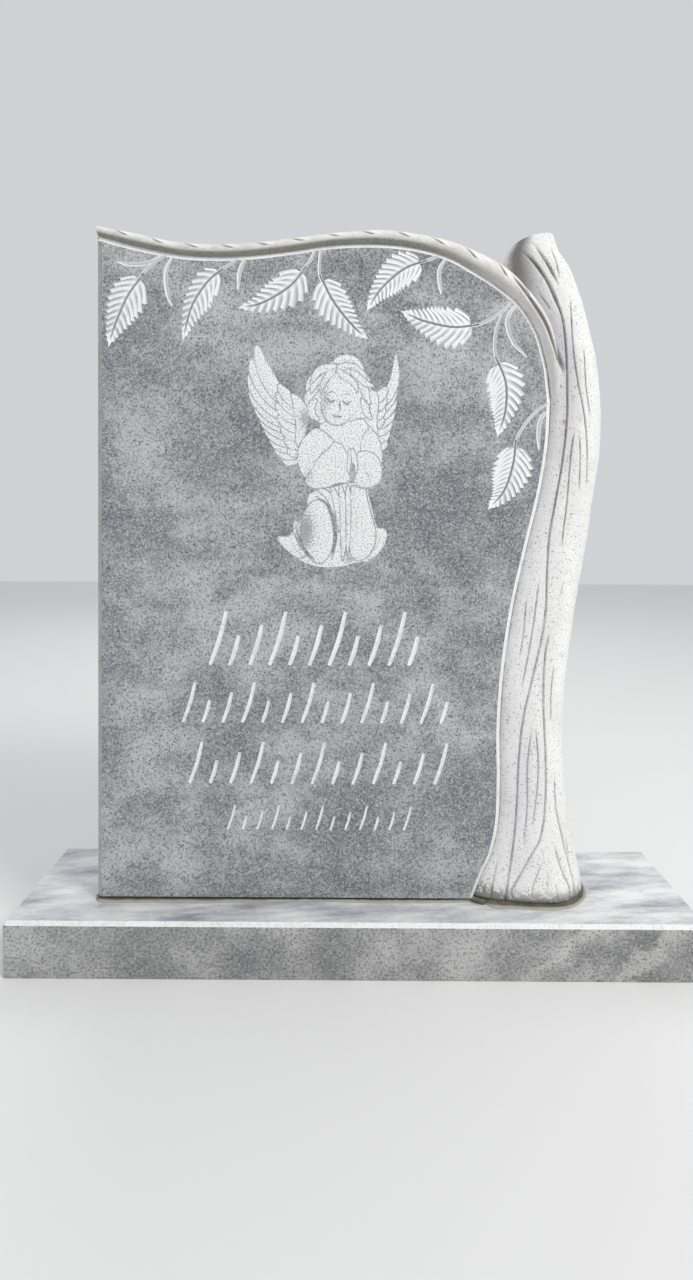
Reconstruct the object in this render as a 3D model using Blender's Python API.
"""Marble grave stele with a carved birch trunk, standing on a plinth slab.

Three pieces: the stele, cut from one stone with its trunk, branch, leaves and kneeling angel,
the plinth slab under it, and the bed of mortar between them.
Metres, +Z up, front towards -Y, origin in the middle of the plinth's underside.
"""
import math

import bpy
import bmesh
import numpy as np
from mathutils import Vector
from mathutils.bvhtree import BVHTree

for old in list(bpy.data.objects):
    bpy.data.objects.remove(old, do_unlink=True)

# Plinth slab
PLINTH_WIDE = 1.000
PLINTH_DEEP = 0.220
PLINTH_HIGH = 0.080
PLINTH_CHAMFER = 0.005
PLINTH_CORNER = 0.003

# Mortar bed
BED_THICK = 0.003
BED_PROUD = 0.009
PAD_THICK = 0.003
PAD_INSET = 0.005
TOUCH_GAP = 0.0003

# Stele
STELE_HIGH = 1.000
STELE_THICK = 0.110
STELE_SETBACK = 0.056
PANEL_LEFT_SHARE = -0.386
BEVEL_WIDE = 0.008
BEVEL_DEEP = 0.005
GROOVE_DEEP = 0.0065
BACK_STEP = 0.001
TUCK = 0.010
TRUNK_HALF_DEEP = 0.048
TRUNK_BACK_ROUND = 0.030
BRANCH_TOP_DEEP = 0.014

# Carving
CUT_CLEAR = 0.004
LEAF_WALL = 0.0020
LEAF_NOTCH = 0.84
LEAF_SWEEP = 0.75
LEAF_FLOOR_SHARE = 0.45
LEAF_END_SHARE = 0.02
LEAF_RISE = 0.0011
MIDRIB_DEEP = 0.0038
STEM_HALF_WIDE = 0.0022
STEM_DEEP = 0.0025
CATKIN_HALF_WIDE = 0.0034
CATKIN_DEEP = 0.0032
FIGURE_RIM = 0.0016
FIGURE_CROWN = 0.0006
FIGURE_FLOOR_SHARES = (0.55, 0.10)
STROKE_HALF_WIDE = 0.0020
STROKE_DEEP = 0.0014
BARK_HALF_WIDE = 0.0030
BARK_DEEP = 0.0032
CREASE_HALF_WIDE = 0.0042
CREASE_DEEP = 0.0060
TICK_HALF_WIDE = 0.0016
TICK_DEEP = 0.0022
TICK_COUNT = 11
TICK_TOP_SHARE = 0.80
TICK_FOOT_SHARE = 0.50
TICK_LEAN_SHARE = 0.006

# How finely the curves are cut into facets
TRUNK_ROWS = 29
BRANCH_ROWS = 33
EDGE_POINTS = 60
FRONT_STEPS = 6
LEAF_TEETH = 8

FRONT_Y = -PLINTH_DEEP / 2 + STELE_SETBACK
BACK_Y = FRONT_Y + STELE_THICK
BED_Z = PLINTH_HIGH + TOUCH_GAP
STELE_Z = BED_Z + BED_THICK + PAD_THICK + TOUCH_GAP

# The stations of the free forms are shares of the stele's height: across from the plinth's middle,
# and up from the stele's foot.
# Branch: lower edge across and up, upper edge across and up, how far its front stands out.
BRANCH = [
    (0.290, 0.720, 0.300, 0.742, -0.003),
    (0.284, 0.752, 0.303, 0.772, 0.004),
    (0.279, 0.788, 0.299, 0.803, 0.009),
    (0.264, 0.840, 0.284, 0.860, 0.010),
    (0.238, 0.882, 0.253, 0.905, 0.010),
    (0.203, 0.911, 0.216, 0.940, 0.009),
    (0.166, 0.934, 0.172, 0.963, 0.007),
    (0.132, 0.952, 0.132, 0.978, 0.006),
    (0.085, 0.965, 0.083, 0.988, 0.006),
    (0.029, 0.971, 0.029, 0.993, 0.006),
    (-0.037, 0.969, -0.037, 0.988, 0.006),
    (-0.094, 0.961, -0.093, 0.981, 0.006),
    (-0.151, 0.954, -0.152, 0.974, 0.006),
    (-0.208, 0.951, -0.211, 0.971, 0.006),
    (-0.264, 0.954, -0.270, 0.974, 0.006),
    (-0.328, 0.966, -0.329, 0.986, 0.006),
    (-0.3855, 0.981, -0.3855, 0.997, 0.004),
]
# Trunk: left edge across and up, right edge across and up, how far its front stands out,
# and how free its left side is of the panel, from 0 to 1.
TRUNK = [
    (0.176, 0.000, 0.352, 0.000, 0.013, 0.0),
    (0.189, 0.035, 0.345, 0.034, 0.010, 0.0),
    (0.203, 0.066, 0.338, 0.066, 0.008, 0.0),
    (0.213, 0.115, 0.330, 0.115, 0.007, 0.0),
    (0.215, 0.180, 0.323, 0.180, 0.006, 0.0),
    (0.214, 0.255, 0.319, 0.255, 0.006, 0.0),
    (0.219, 0.340, 0.325, 0.340, 0.006, 0.0),
    (0.232, 0.435, 0.337, 0.435, 0.006, 0.0),
    (0.251, 0.523, 0.351, 0.523, 0.006, 0.0),
    (0.270, 0.605, 0.363, 0.605, 0.006, 0.0),
    (0.281, 0.676, 0.371, 0.676, 0.006, 0.0),
    (0.284, 0.740, 0.371, 0.742, 0.006, 0.0),
    (0.279, 0.790, 0.365, 0.800, 0.006, 0.0),
    (0.262, 0.845, 0.354, 0.850, 0.006, 0.2),
    (0.243, 0.885, 0.341, 0.900, 0.006, 0.6),
    (0.226, 0.925, 0.324, 0.944, 0.006, 0.9),
    (0.219, 0.955, 0.306, 0.972, 0.006, 1.0),
    (0.226, 0.974, 0.297, 0.994, 0.005, 1.0),
]
# Leaves: midrib from base to tip, then the half widths to the left and right of that way.
LEAVES = [
    ([(-0.317, 0.926), (-0.343, 0.889), (-0.362, 0.844), (-0.369, 0.817)], 0.034, 0.026),
    ([(-0.200, 0.933), (-0.223, 0.914), (-0.247, 0.877), (-0.260, 0.826)], 0.031, 0.018),
    ([(-0.078, 0.937), (-0.102, 0.908), (-0.143, 0.883), (-0.179, 0.875)], 0.028, 0.028),
    ([(-0.058, 0.925), (-0.038, 0.886), (-0.008, 0.849), (0.015, 0.830)], 0.027, 0.028),
    ([(0.100, 0.947), (0.065, 0.933), (0.032, 0.904), (0.011, 0.871)], 0.030, 0.026),
    ([(0.178, 0.853), (0.140, 0.849), (0.098, 0.857), (0.061, 0.872)], 0.031, 0.033),
    ([(0.202, 0.806), (0.217, 0.768), (0.217, 0.726), (0.205, 0.687)], 0.028, 0.034),
    ([(0.233, 0.684), (0.229, 0.647), (0.216, 0.608), (0.192, 0.580)], 0.030, 0.031),
]
STEMS = [
    [(-0.277, 0.956), (-0.299, 0.943), (-0.318, 0.925)],
    [(-0.172, 0.955), (-0.184, 0.943), (-0.201, 0.932)],
    [(-0.063, 0.966), (-0.070, 0.948), (-0.079, 0.936)],
    [(-0.055, 0.966), (-0.058, 0.946), (-0.058, 0.924)],
    [(0.124, 0.957), (0.112, 0.951), (0.099, 0.946)],
    [(0.231, 0.894), (0.215, 0.876), (0.195, 0.861), (0.177, 0.853)],
    [(0.211, 0.871), (0.203, 0.848), (0.200, 0.825), (0.202, 0.805)],
    [(0.287, 0.741), (0.265, 0.728), (0.245, 0.705), (0.233, 0.683)],
]
CATKINS = [
    [(-0.289, 0.953), (-0.310, 0.941), (-0.336, 0.938), (-0.357, 0.942)],
    [(-0.272, 0.955), (-0.284, 0.928), (-0.282, 0.895), (-0.275, 0.877)],
    [(-0.163, 0.956), (-0.175, 0.930), (-0.178, 0.902)],
    [(0.130, 0.954), (0.118, 0.930), (0.121, 0.896)],
    [(0.237, 0.889), (0.219, 0.862), (0.226, 0.830), (0.248, 0.805)],
    [(0.286, 0.731), (0.270, 0.716), (0.266, 0.692), (0.267, 0.668)],
]
# Bark grooves down the trunk, and the crease where the branch leaves it.
CREASE = [(0.217, 0.936), (0.244, 0.898), (0.271, 0.856), (0.291, 0.809), (0.300, 0.780)]
BARK = [
    [(0.231, 0.966), (0.279, 0.909), (0.302, 0.840), (0.307, 0.740), (0.295, 0.620), (0.280, 0.520),
     (0.275, 0.415), (0.252, 0.300), (0.239, 0.180), (0.234, 0.080), (0.222, 0.006)],
    [(0.248, 0.974), (0.273, 0.945), (0.294, 0.904)],
    [(0.278, 0.982), (0.290, 0.946), (0.297, 0.909)],
    [(0.311, 0.902), (0.314, 0.826), (0.324, 0.760), (0.337, 0.690), (0.339, 0.603)],
    [(0.332, 0.833), (0.336, 0.767), (0.347, 0.704)],
    [(0.316, 0.707), (0.310, 0.640), (0.304, 0.560), (0.300, 0.512)],
    [(0.321, 0.700), (0.327, 0.660), (0.324, 0.596)],
    [(0.268, 0.486), (0.260, 0.410), (0.241, 0.318)],
    [(0.250, 0.461), (0.245, 0.400), (0.237, 0.352)],
    [(0.286, 0.409), (0.277, 0.340), (0.280, 0.206), (0.279, 0.137), (0.262, 0.074), (0.231, 0.014)],
    [(0.294, 0.366), (0.289, 0.306), (0.289, 0.251)],
    [(0.260, 0.258), (0.252, 0.180), (0.247, 0.072)],
    [(0.264, 0.263), (0.268, 0.190), (0.258, 0.097)],
    [(0.296, 0.195), (0.299, 0.137), (0.310, 0.088), (0.328, 0.021)],
    [(0.291, 0.097), (0.304, 0.051), (0.318, 0.017)],
]
# Rows of strokes in place of an inscription: left, right, bottom, top, number of strokes.
STROKE_ROWS = [
    (-0.218, 0.101, 0.348, 0.428, 11),
    (-0.258, 0.143, 0.262, 0.322, 14),
    (-0.248, 0.135, 0.171, 0.233, 13),
    (-0.191, 0.082, 0.102, 0.138, 13),
]
# The angel, cut in as blades with a ridge along a line (hair, hands and feathers: the line and its
# half width) and as areas whose floor rises to the middle (face, sleeves, knees and robe).
BLADES = [
    ([(-0.066, 0.722), (-0.074, 0.762), (-0.048, 0.793), (-0.010, 0.795), (0.014, 0.750)], 0.0100),
    ([(-0.020, 0.622), (-0.017, 0.650), (-0.021, 0.682)], 0.0075),
    ([(-0.080, 0.725), (-0.115, 0.760), (-0.149, 0.819)], 0.0120),
    ([(-0.084, 0.705), (-0.125, 0.735), (-0.159, 0.775)], 0.0105),
    ([(-0.088, 0.686), (-0.124, 0.708), (-0.152, 0.735)], 0.0095),
    ([(-0.094, 0.668), (-0.118, 0.681), (-0.140, 0.702)], 0.0080),
    ([(0.024, 0.715), (0.042, 0.755), (0.056, 0.805)], 0.0095),
    ([(0.026, 0.690), (0.042, 0.715), (0.054, 0.750)], 0.0085),
    ([(0.031, 0.668), (0.040, 0.684), (0.048, 0.710)], 0.0065),
]
AREAS = [
    [(-0.058, 0.745), (-0.052, 0.768), (-0.030, 0.779), (-0.008, 0.768), (-0.002, 0.745), (-0.009, 0.716),
     (-0.027, 0.700), (-0.050, 0.716)],
    [(-0.084, 0.690), (-0.056, 0.695), (-0.036, 0.678), (-0.032, 0.650), (-0.032, 0.621), (-0.062, 0.614),
     (-0.082, 0.633), (-0.090, 0.660)],
    [(0.010, 0.690), (0.024, 0.672), (0.032, 0.636), (0.013, 0.615), (-0.008, 0.619), (-0.006, 0.650),
     (-0.006, 0.684)],
    [(-0.058, 0.600), (-0.040, 0.580), (-0.037, 0.543), (-0.044, 0.512), (-0.057, 0.500), (-0.071, 0.512),
     (-0.078, 0.543), (-0.074, 0.580)],
    [(-0.034, 0.604), (0.008, 0.606), (0.020, 0.575), (0.028, 0.553), (0.041, 0.542), (0.038, 0.522),
     (0.018, 0.506), (-0.030, 0.501), (-0.032, 0.545), (-0.034, 0.580)],
    [(-0.086, 0.562), (-0.084, 0.530), (-0.072, 0.500), (-0.096, 0.511), (-0.119, 0.532), (-0.096, 0.545)],
]


def smooth(stations, count):
    """Catmull-Rom curve through the stations, read at evenly spaced parameters."""
    rows = np.asarray(stations, float)
    padded = np.vstack([2 * rows[0] - rows[1], rows, 2 * rows[-1] - rows[-2]])
    along = np.linspace(0, len(rows) - 1, count)
    i = np.minimum(along.astype(int), len(rows) - 2)
    t = (along - i)[:, None]
    a, b, c, d = padded[i], padded[i + 1], padded[i + 2], padded[i + 3]
    bend = (2 * a - 5 * b + 4 * c - d) * t ** 2 + (3 * b - a - 3 * c + d) * t ** 3
    return b + 0.5 * ((c - a) * t + bend)


def place(across, up, deep):
    """Shares of the stele's height, and a depth behind the panel's face in metres, to a point."""
    across, up, deep = np.broadcast_arrays(across, up, deep)
    x = across * STELE_HIGH
    y = FRONT_Y + deep
    z = STELE_Z + up * STELE_HIGH
    return np.stack([x, y, z], axis=-1)


def loft(name, sections, collection=None):
    """A closed solid from a stack of closed sections, with a cap at either end."""
    mesh = bpy.data.meshes.new(name)
    shape = bmesh.new()
    rings = [[shape.verts.new(point) for point in ring] for ring in sections]
    count = len(rings[0])
    for low, high in zip(rings, rings[1:]):
        for k in range(count):
            n = (k + 1) % count
            shape.faces.new((low[k], low[n], high[n], high[k]))
    shape.faces.new(rings[0])
    shape.faces.new(rings[-1])
    bmesh.ops.recalc_face_normals(shape, faces=shape.faces)
    shape.to_mesh(mesh)
    shape.free()
    thing = bpy.data.objects.new(name, mesh)
    (collection or bpy.context.scene.collection).objects.link(thing)
    return thing


def finish(thing, colour, roughness):
    """Give a piece its own plain stone or mortar colour."""
    stone = bpy.data.materials.new(thing.name)
    stone.use_nodes = True
    shader = stone.node_tree.nodes["Principled BSDF"]
    shader.inputs["Base Color"].default_value = (*colour, 1)
    shader.inputs["Roughness"].default_value = roughness
    shader.inputs["Metallic"].default_value = 0.0
    thing.data.materials.append(stone)


def combine(target, name, stacks, operation):
    """Join a group of helper solids to the target, or cut them out of it, in one exact Boolean."""
    group = bpy.data.collections.new(name)
    bpy.context.scene.collection.children.link(group)
    for k, sections in enumerate(stacks):
        helper = loft(f"{name}_{k}", sections, group)
        helper.hide_render = True
        helper.display_type = 'WIRE'
    boolean = target.modifiers.new(name, 'BOOLEAN')
    boolean.operation = operation
    boolean.solver = 'EXACT'
    boolean.operand_type = 'COLLECTION'
    boolean.collection = group


def offset(outline, distance):
    """Move every side of a closed outline outwards by a distance, with mitred corners.

    The outline runs anticlockwise; a negative distance moves it inwards.
    """
    ahead = np.roll(outline, -1, axis=0) - outline
    ahead /= np.linalg.norm(ahead, axis=1)[:, None]
    behind = np.roll(ahead, 1, axis=0)
    out_ahead = np.stack([ahead[:, 1], -ahead[:, 0]], axis=1)
    out_behind = np.stack([behind[:, 1], -behind[:, 0]], axis=1)
    middle = out_ahead + out_behind
    return outline + middle * (distance * 2 / (middle ** 2).sum(axis=1))[:, None]


def panel_outline():
    """The panel's edge seen from the front, anticlockwise, in metres: foot, trunk side, top, left."""
    side = smooth([row[:2] for row in TRUNK[:12]], EDGE_POINTS // 2)
    top = smooth([row[:2] for row in BRANCH[2:]], EDGE_POINTS // 2)
    top[-1, 0] = PANEL_LEFT_SHARE
    corner = np.array([[PANEL_LEFT_SHARE, 0.0]])
    return np.vstack([corner, side, top]) * STELE_HIGH


def build_panel():
    """The slab behind everything: the edge bevelled at the front, square at the back."""
    edge = panel_outline()
    inner = offset(edge, -BEVEL_WIDE)
    inner[0, 1] = 0.0
    inner[1, 1] = 0.0
    depths = [(inner, 0.0), (edge, BEVEL_DEEP), (edge, STELE_THICK)]
    share = [place(line[:, 0] / STELE_HIGH, line[:, 1] / STELE_HIGH, deep) for line, deep in depths]
    return loft("stele", share)


def trunk_section(row):
    """One closed section of the trunk, from its left edge over the front to the right and the back.

    The front is a quarter of a flat ellipse on the left and of a round one on the right.
    """
    left = np.array(row[0:2])
    right = np.array(row[2:4])
    bulge = row[4] * STELE_HIGH
    free = row[5]
    wide = np.linalg.norm(right - left) * STELE_HIGH
    half = min(TRUNK_HALF_DEEP + bulge, wide * 0.6)
    edge_deep = GROOVE_DEEP + free * (TRUNK_HALF_DEEP * 0.7)
    tuck = TUCK * (1 - free)
    back = STELE_THICK - BACK_STEP
    turn = np.linspace(0, math.pi / 2, FRONT_STEPS)
    left_n = (wide - half) * (1 - np.cos(turn))
    left_w = edge_deep - (edge_deep + bulge) * np.sin(turn)
    right_n = wide - half + half * np.sin(turn[1:])
    right_w = TRUNK_HALF_DEEP - (TRUNK_HALF_DEEP + bulge) * np.cos(turn[1:])
    round_n = wide - TRUNK_BACK_ROUND * (1 - np.cos(turn[2::2]))
    round_w = TRUNK_HALF_DEEP + (back - TRUNK_HALF_DEEP) * np.sin(turn[2::2])
    across = np.concatenate([[-tuck], left_n, right_n, round_n, [-tuck]])
    deep = np.concatenate([[edge_deep + TUCK], left_w, right_w, round_w, [back]])
    share = left + (right - left) * (across / wide)[:, None]
    return place(share[:, 0], share[:, 1], deep)


def branch_section(row):
    """One closed section of the branch: a half-round front between its lower and upper edges."""
    lower = np.array(row[0:2])
    upper = np.array(row[2:4])
    bulge = row[4] * STELE_HIGH
    wide = np.linalg.norm(upper - lower) * STELE_HIGH
    back = STELE_THICK - BACK_STEP
    turn = np.linspace(0, math.pi, FRONT_STEPS)
    edge_deep = np.linspace(GROOVE_DEEP, BRANCH_TOP_DEEP, FRONT_STEPS)
    front_n = wide * (1 - np.cos(turn)) / 2
    front_w = edge_deep - (edge_deep + bulge) * np.sin(turn)
    across = np.concatenate([[-TUCK], front_n, [wide, wide * 0.85, -TUCK]])
    deep = np.concatenate([[GROOVE_DEEP + TUCK], front_w, [back - BRANCH_TOP_DEEP, back, back]])
    share = lower + (upper - lower) * (across / wide)[:, None]
    return place(share[:, 0], share[:, 1], deep)


def v_cut(points, half_wide, deep, surface, count):
    """A tapering V-shaped cutter along a line drawn on the stone, pointed at both ends."""
    line = smooth(points, count)
    fullness = np.sin(np.linspace(0.12, math.pi - 0.12, count)) ** 0.6
    spots = [surface(*spot) for spot in line]
    rings = []
    for k, (spot, normal) in enumerate(spots):
        way = (spots[min(k + 1, count - 1)][0] - spots[max(k - 1, 0)][0]).normalized()
        side = normal.cross(way).normalized()
        reach = side * half_wide * (fullness[k] + CUT_CLEAR / deep)
        above = spot + normal * CUT_CLEAR
        bottom = spot - normal * (deep * fullness[k])
        rings.append([above - reach, above + reach, bottom])
    return rings


def on_panel(across, up):
    """The point of the panel's face at a place given in shares, and its normal."""
    return Vector(place(across, up, 0.0)), Vector((0, -1, 0))


def on_body(tree):
    """A function that finds the stone's surface straight behind a place given in shares.

    The cut goes straight in from the front, so that its walls don't twist where facets meet.
    """
    def surface(across, up):
        start = Vector(place(across, up, -0.5))
        spot = tree.ray_cast(start, Vector((0, 1, 0)))[0]
        return spot, Vector((0, -1, 0))
    return surface


def leaf_cut(midrib, left_wide, right_wide):
    """A sunk birch leaf: toothed edge, steep wall, a floor that rises and falls to the midrib.

    The half width follows sin(pi * s ** 0.45), the blade is swept forward by LEAF_SWEEP of it,
    and every second station is drawn in as a notch between two teeth.
    """
    count = 2 * LEAF_TEETH + 3
    line = smooth(midrib, count)
    way = np.gradient(line, axis=0)
    way /= np.linalg.norm(way, axis=1)[:, None]
    left = np.stack([-way[:, 1], way[:, 0]], axis=1)
    s = np.linspace(0.012, 0.99, count)
    full = np.sin(math.pi * s ** 0.45) ** 0.8 * (1.0 - 0.35 * s) + LEAF_END_SHARE
    tooth = np.arange(count) % 2 == 1
    reach = full * np.where(tooth, 1.0, LEAF_NOTCH)
    edge_l = line + (left + way * LEAF_SWEEP) * (left_wide * reach)[:, None]
    edge_r = line + (-left + way * LEAF_SWEEP) * (right_wide * reach)[:, None]
    shallow = np.minimum(1.0, full * 2.5)
    steps = [(1.0, -CUT_CLEAR), (1.0, LEAF_WALL), (LEAF_FLOOR_SHARE, LEAF_RISE), (0.0, MIDRIB_DEEP)]
    ways_across = [(edge_l, *step) for step in steps] + [(edge_r, *step) for step in steps[-2::-1]]
    rings = []
    for edge, share, deep in ways_across:
        spot = line + (edge - line) * share
        rings.append(place(spot[:, 0], spot[:, 1], deep if deep < 0 else deep * shallow))
    return np.stack(rings, axis=1)


def area_cut(outline):
    """A sunk area of the figure: steep rim, floor rising to the middle."""
    edge = smooth(outline + outline[:1], len(outline) * 2 + 1)[:-1]
    middle = edge.mean(axis=0)
    steps = [(1.0, -CUT_CLEAR), (1.0, FIGURE_RIM)]
    steps += [(share, FIGURE_CROWN) for share in FIGURE_FLOOR_SHARES]
    rings = [middle + (edge - middle) * share for share, _ in steps]
    return [place(ring[:, 0], ring[:, 1], deep) for ring, (_, deep) in zip(rings, steps)]


def blade_cut(line, half_wide):
    """A sunk blade: round at the root, pointed at the tip, with a ridge along the middle."""
    count = 3 * len(line)
    line = smooth(line, count)
    way = np.gradient(line, axis=0)
    way /= np.linalg.norm(way, axis=1)[:, None]
    left = np.stack([-way[:, 1], way[:, 0]], axis=1)
    s = np.linspace(0.02, 0.98, count)
    wide = half_wide * np.sin(math.pi * s ** 0.8) ** 0.6
    rings = []
    for k in range(count):
        one = line[k] - left[k] * wide[k]
        two = line[k] + left[k] * wide[k]
        spots = [one, one, line[k], two, two]
        depths = [-CUT_CLEAR, FIGURE_RIM, FIGURE_CROWN, FIGURE_RIM, -CUT_CLEAR]
        rings.append([place(*spot, deep) for spot, deep in zip(spots, depths)])
    return rings


def stroke_cuts():
    """Rows of slanting strokes, long and short in turn, in place of an inscription."""
    cuts = []
    for left, right, low, high, number in STROKE_ROWS:
        high_now = high - low
        lean = high_now * 0.30
        step = (right - left - lean) / (number - 1)
        for k in range(number):
            foot = left + k * step
            length = (1.0, 0.55, 0.75)[k % 3]
            ends = [(foot, low), (foot + lean * length * 0.6, low + high_now * length * 0.5),
                    (foot + lean * length, low + high_now * length)]
            half = min(STROKE_HALF_WIDE, high_now * 0.04)
            cuts.append(v_cut(ends, half, STROKE_DEEP, on_panel, 3))
    return cuts


def tick_cuts(surface):
    """Short slanting bark cuts on the upper half of the branch, evenly spread along it."""
    cuts = []
    for row in smooth(BRANCH[6:], 2 * TICK_COUNT + 1)[1::2]:
        lower = row[0:2]
        height = row[2:4] - lower
        start = lower + height * TICK_TOP_SHARE - (TICK_LEAN_SHARE, 0.0)
        end = lower + height * TICK_FOOT_SHARE + (TICK_LEAN_SHARE, 0.0)
        cuts.append(v_cut([start, (start + end) / 2, end], TICK_HALF_WIDE, TICK_DEEP, surface, 3))
    return cuts


def build_stele():
    """The stone: panel, trunk and branch joined, then the carving cut into it."""
    stele = build_panel()
    trunk = [trunk_section(row) for row in smooth(TRUNK, TRUNK_ROWS)]
    branch = [branch_section(row) for row in smooth(BRANCH, BRANCH_ROWS)]
    combine(stele, "wood_form", [trunk, branch], 'UNION')
    surface = on_body(BVHTree.FromObject(stele, bpy.context.evaluated_depsgraph_get()))
    cuts = [leaf_cut(*leaf) for leaf in LEAVES]
    cuts += [v_cut(line, STEM_HALF_WIDE, STEM_DEEP, on_panel, 6) for line in STEMS]
    cuts += [v_cut(line, CATKIN_HALF_WIDE, CATKIN_DEEP, on_panel, 8) for line in CATKINS]
    cuts += [area_cut(area) for area in AREAS]
    cuts += [blade_cut(*blade) for blade in BLADES]
    cuts += stroke_cuts()
    cuts += [v_cut(line, BARK_HALF_WIDE, BARK_DEEP, surface, 2 * len(line)) for line in BARK]
    cuts += [v_cut(CREASE, CREASE_HALF_WIDE, CREASE_DEEP, surface, 12)]
    cuts += tick_cuts(surface)
    combine(stele, "carving", cuts, 'DIFFERENCE')
    finish(stele, (0.62, 0.62, 0.61), 0.45)
    return stele


def build_plinth():
    """The slab: square sides with small upright corner bevels, chamfered round the top."""
    half = np.array([PLINTH_WIDE / 2, PLINTH_DEEP / 2])
    cut = PLINTH_CORNER
    corners = [(1, -1), (1, 1), (-1, 1), (-1, -1)]
    outline = []
    for k, (sx, sy) in enumerate(corners):
        corner = half * (sx, sy)
        along_x = corner - (sx * cut, 0)
        along_y = corner - (0, sy * cut)
        outline += [along_x, along_y] if k % 2 == 0 else [along_y, along_x]
    outline = np.array(outline)
    top = offset(outline, -PLINTH_CHAMFER)
    levels = [(outline, 0.0), (outline, PLINTH_HIGH - PLINTH_CHAMFER), (top, PLINTH_HIGH)]
    sections = [np.column_stack([line, np.full(len(line), z)]) for line, z in levels]
    plinth = loft("plinth", sections)
    finish(plinth, (0.55, 0.55, 0.54), 0.35)
    return plinth


def build_bed():
    """The mortar: a thin layer that stands out round the stele's foot, and a drawn-in pad on it."""
    foot = trunk_section(TRUNK[0])[2:-1, :2]
    left = PANEL_LEFT_SHARE * STELE_HIGH
    outline = np.vstack([[(left, BACK_Y), (left, FRONT_Y)], foot])
    wide = offset(outline, BED_PROUD)
    inner = offset(outline, -PAD_INSET)
    top = BED_Z + BED_THICK
    levels = [(wide, BED_Z), (wide, top), (inner, top), (inner, top + PAD_THICK)]
    sections = [np.column_stack([line, np.full(len(line), z)]) for line, z in levels]
    bed = loft("mortar_bed", sections)
    finish(bed, (0.17, 0.15, 0.11), 0.9)
    return bed


build_stele()
build_plinth()
build_bed()
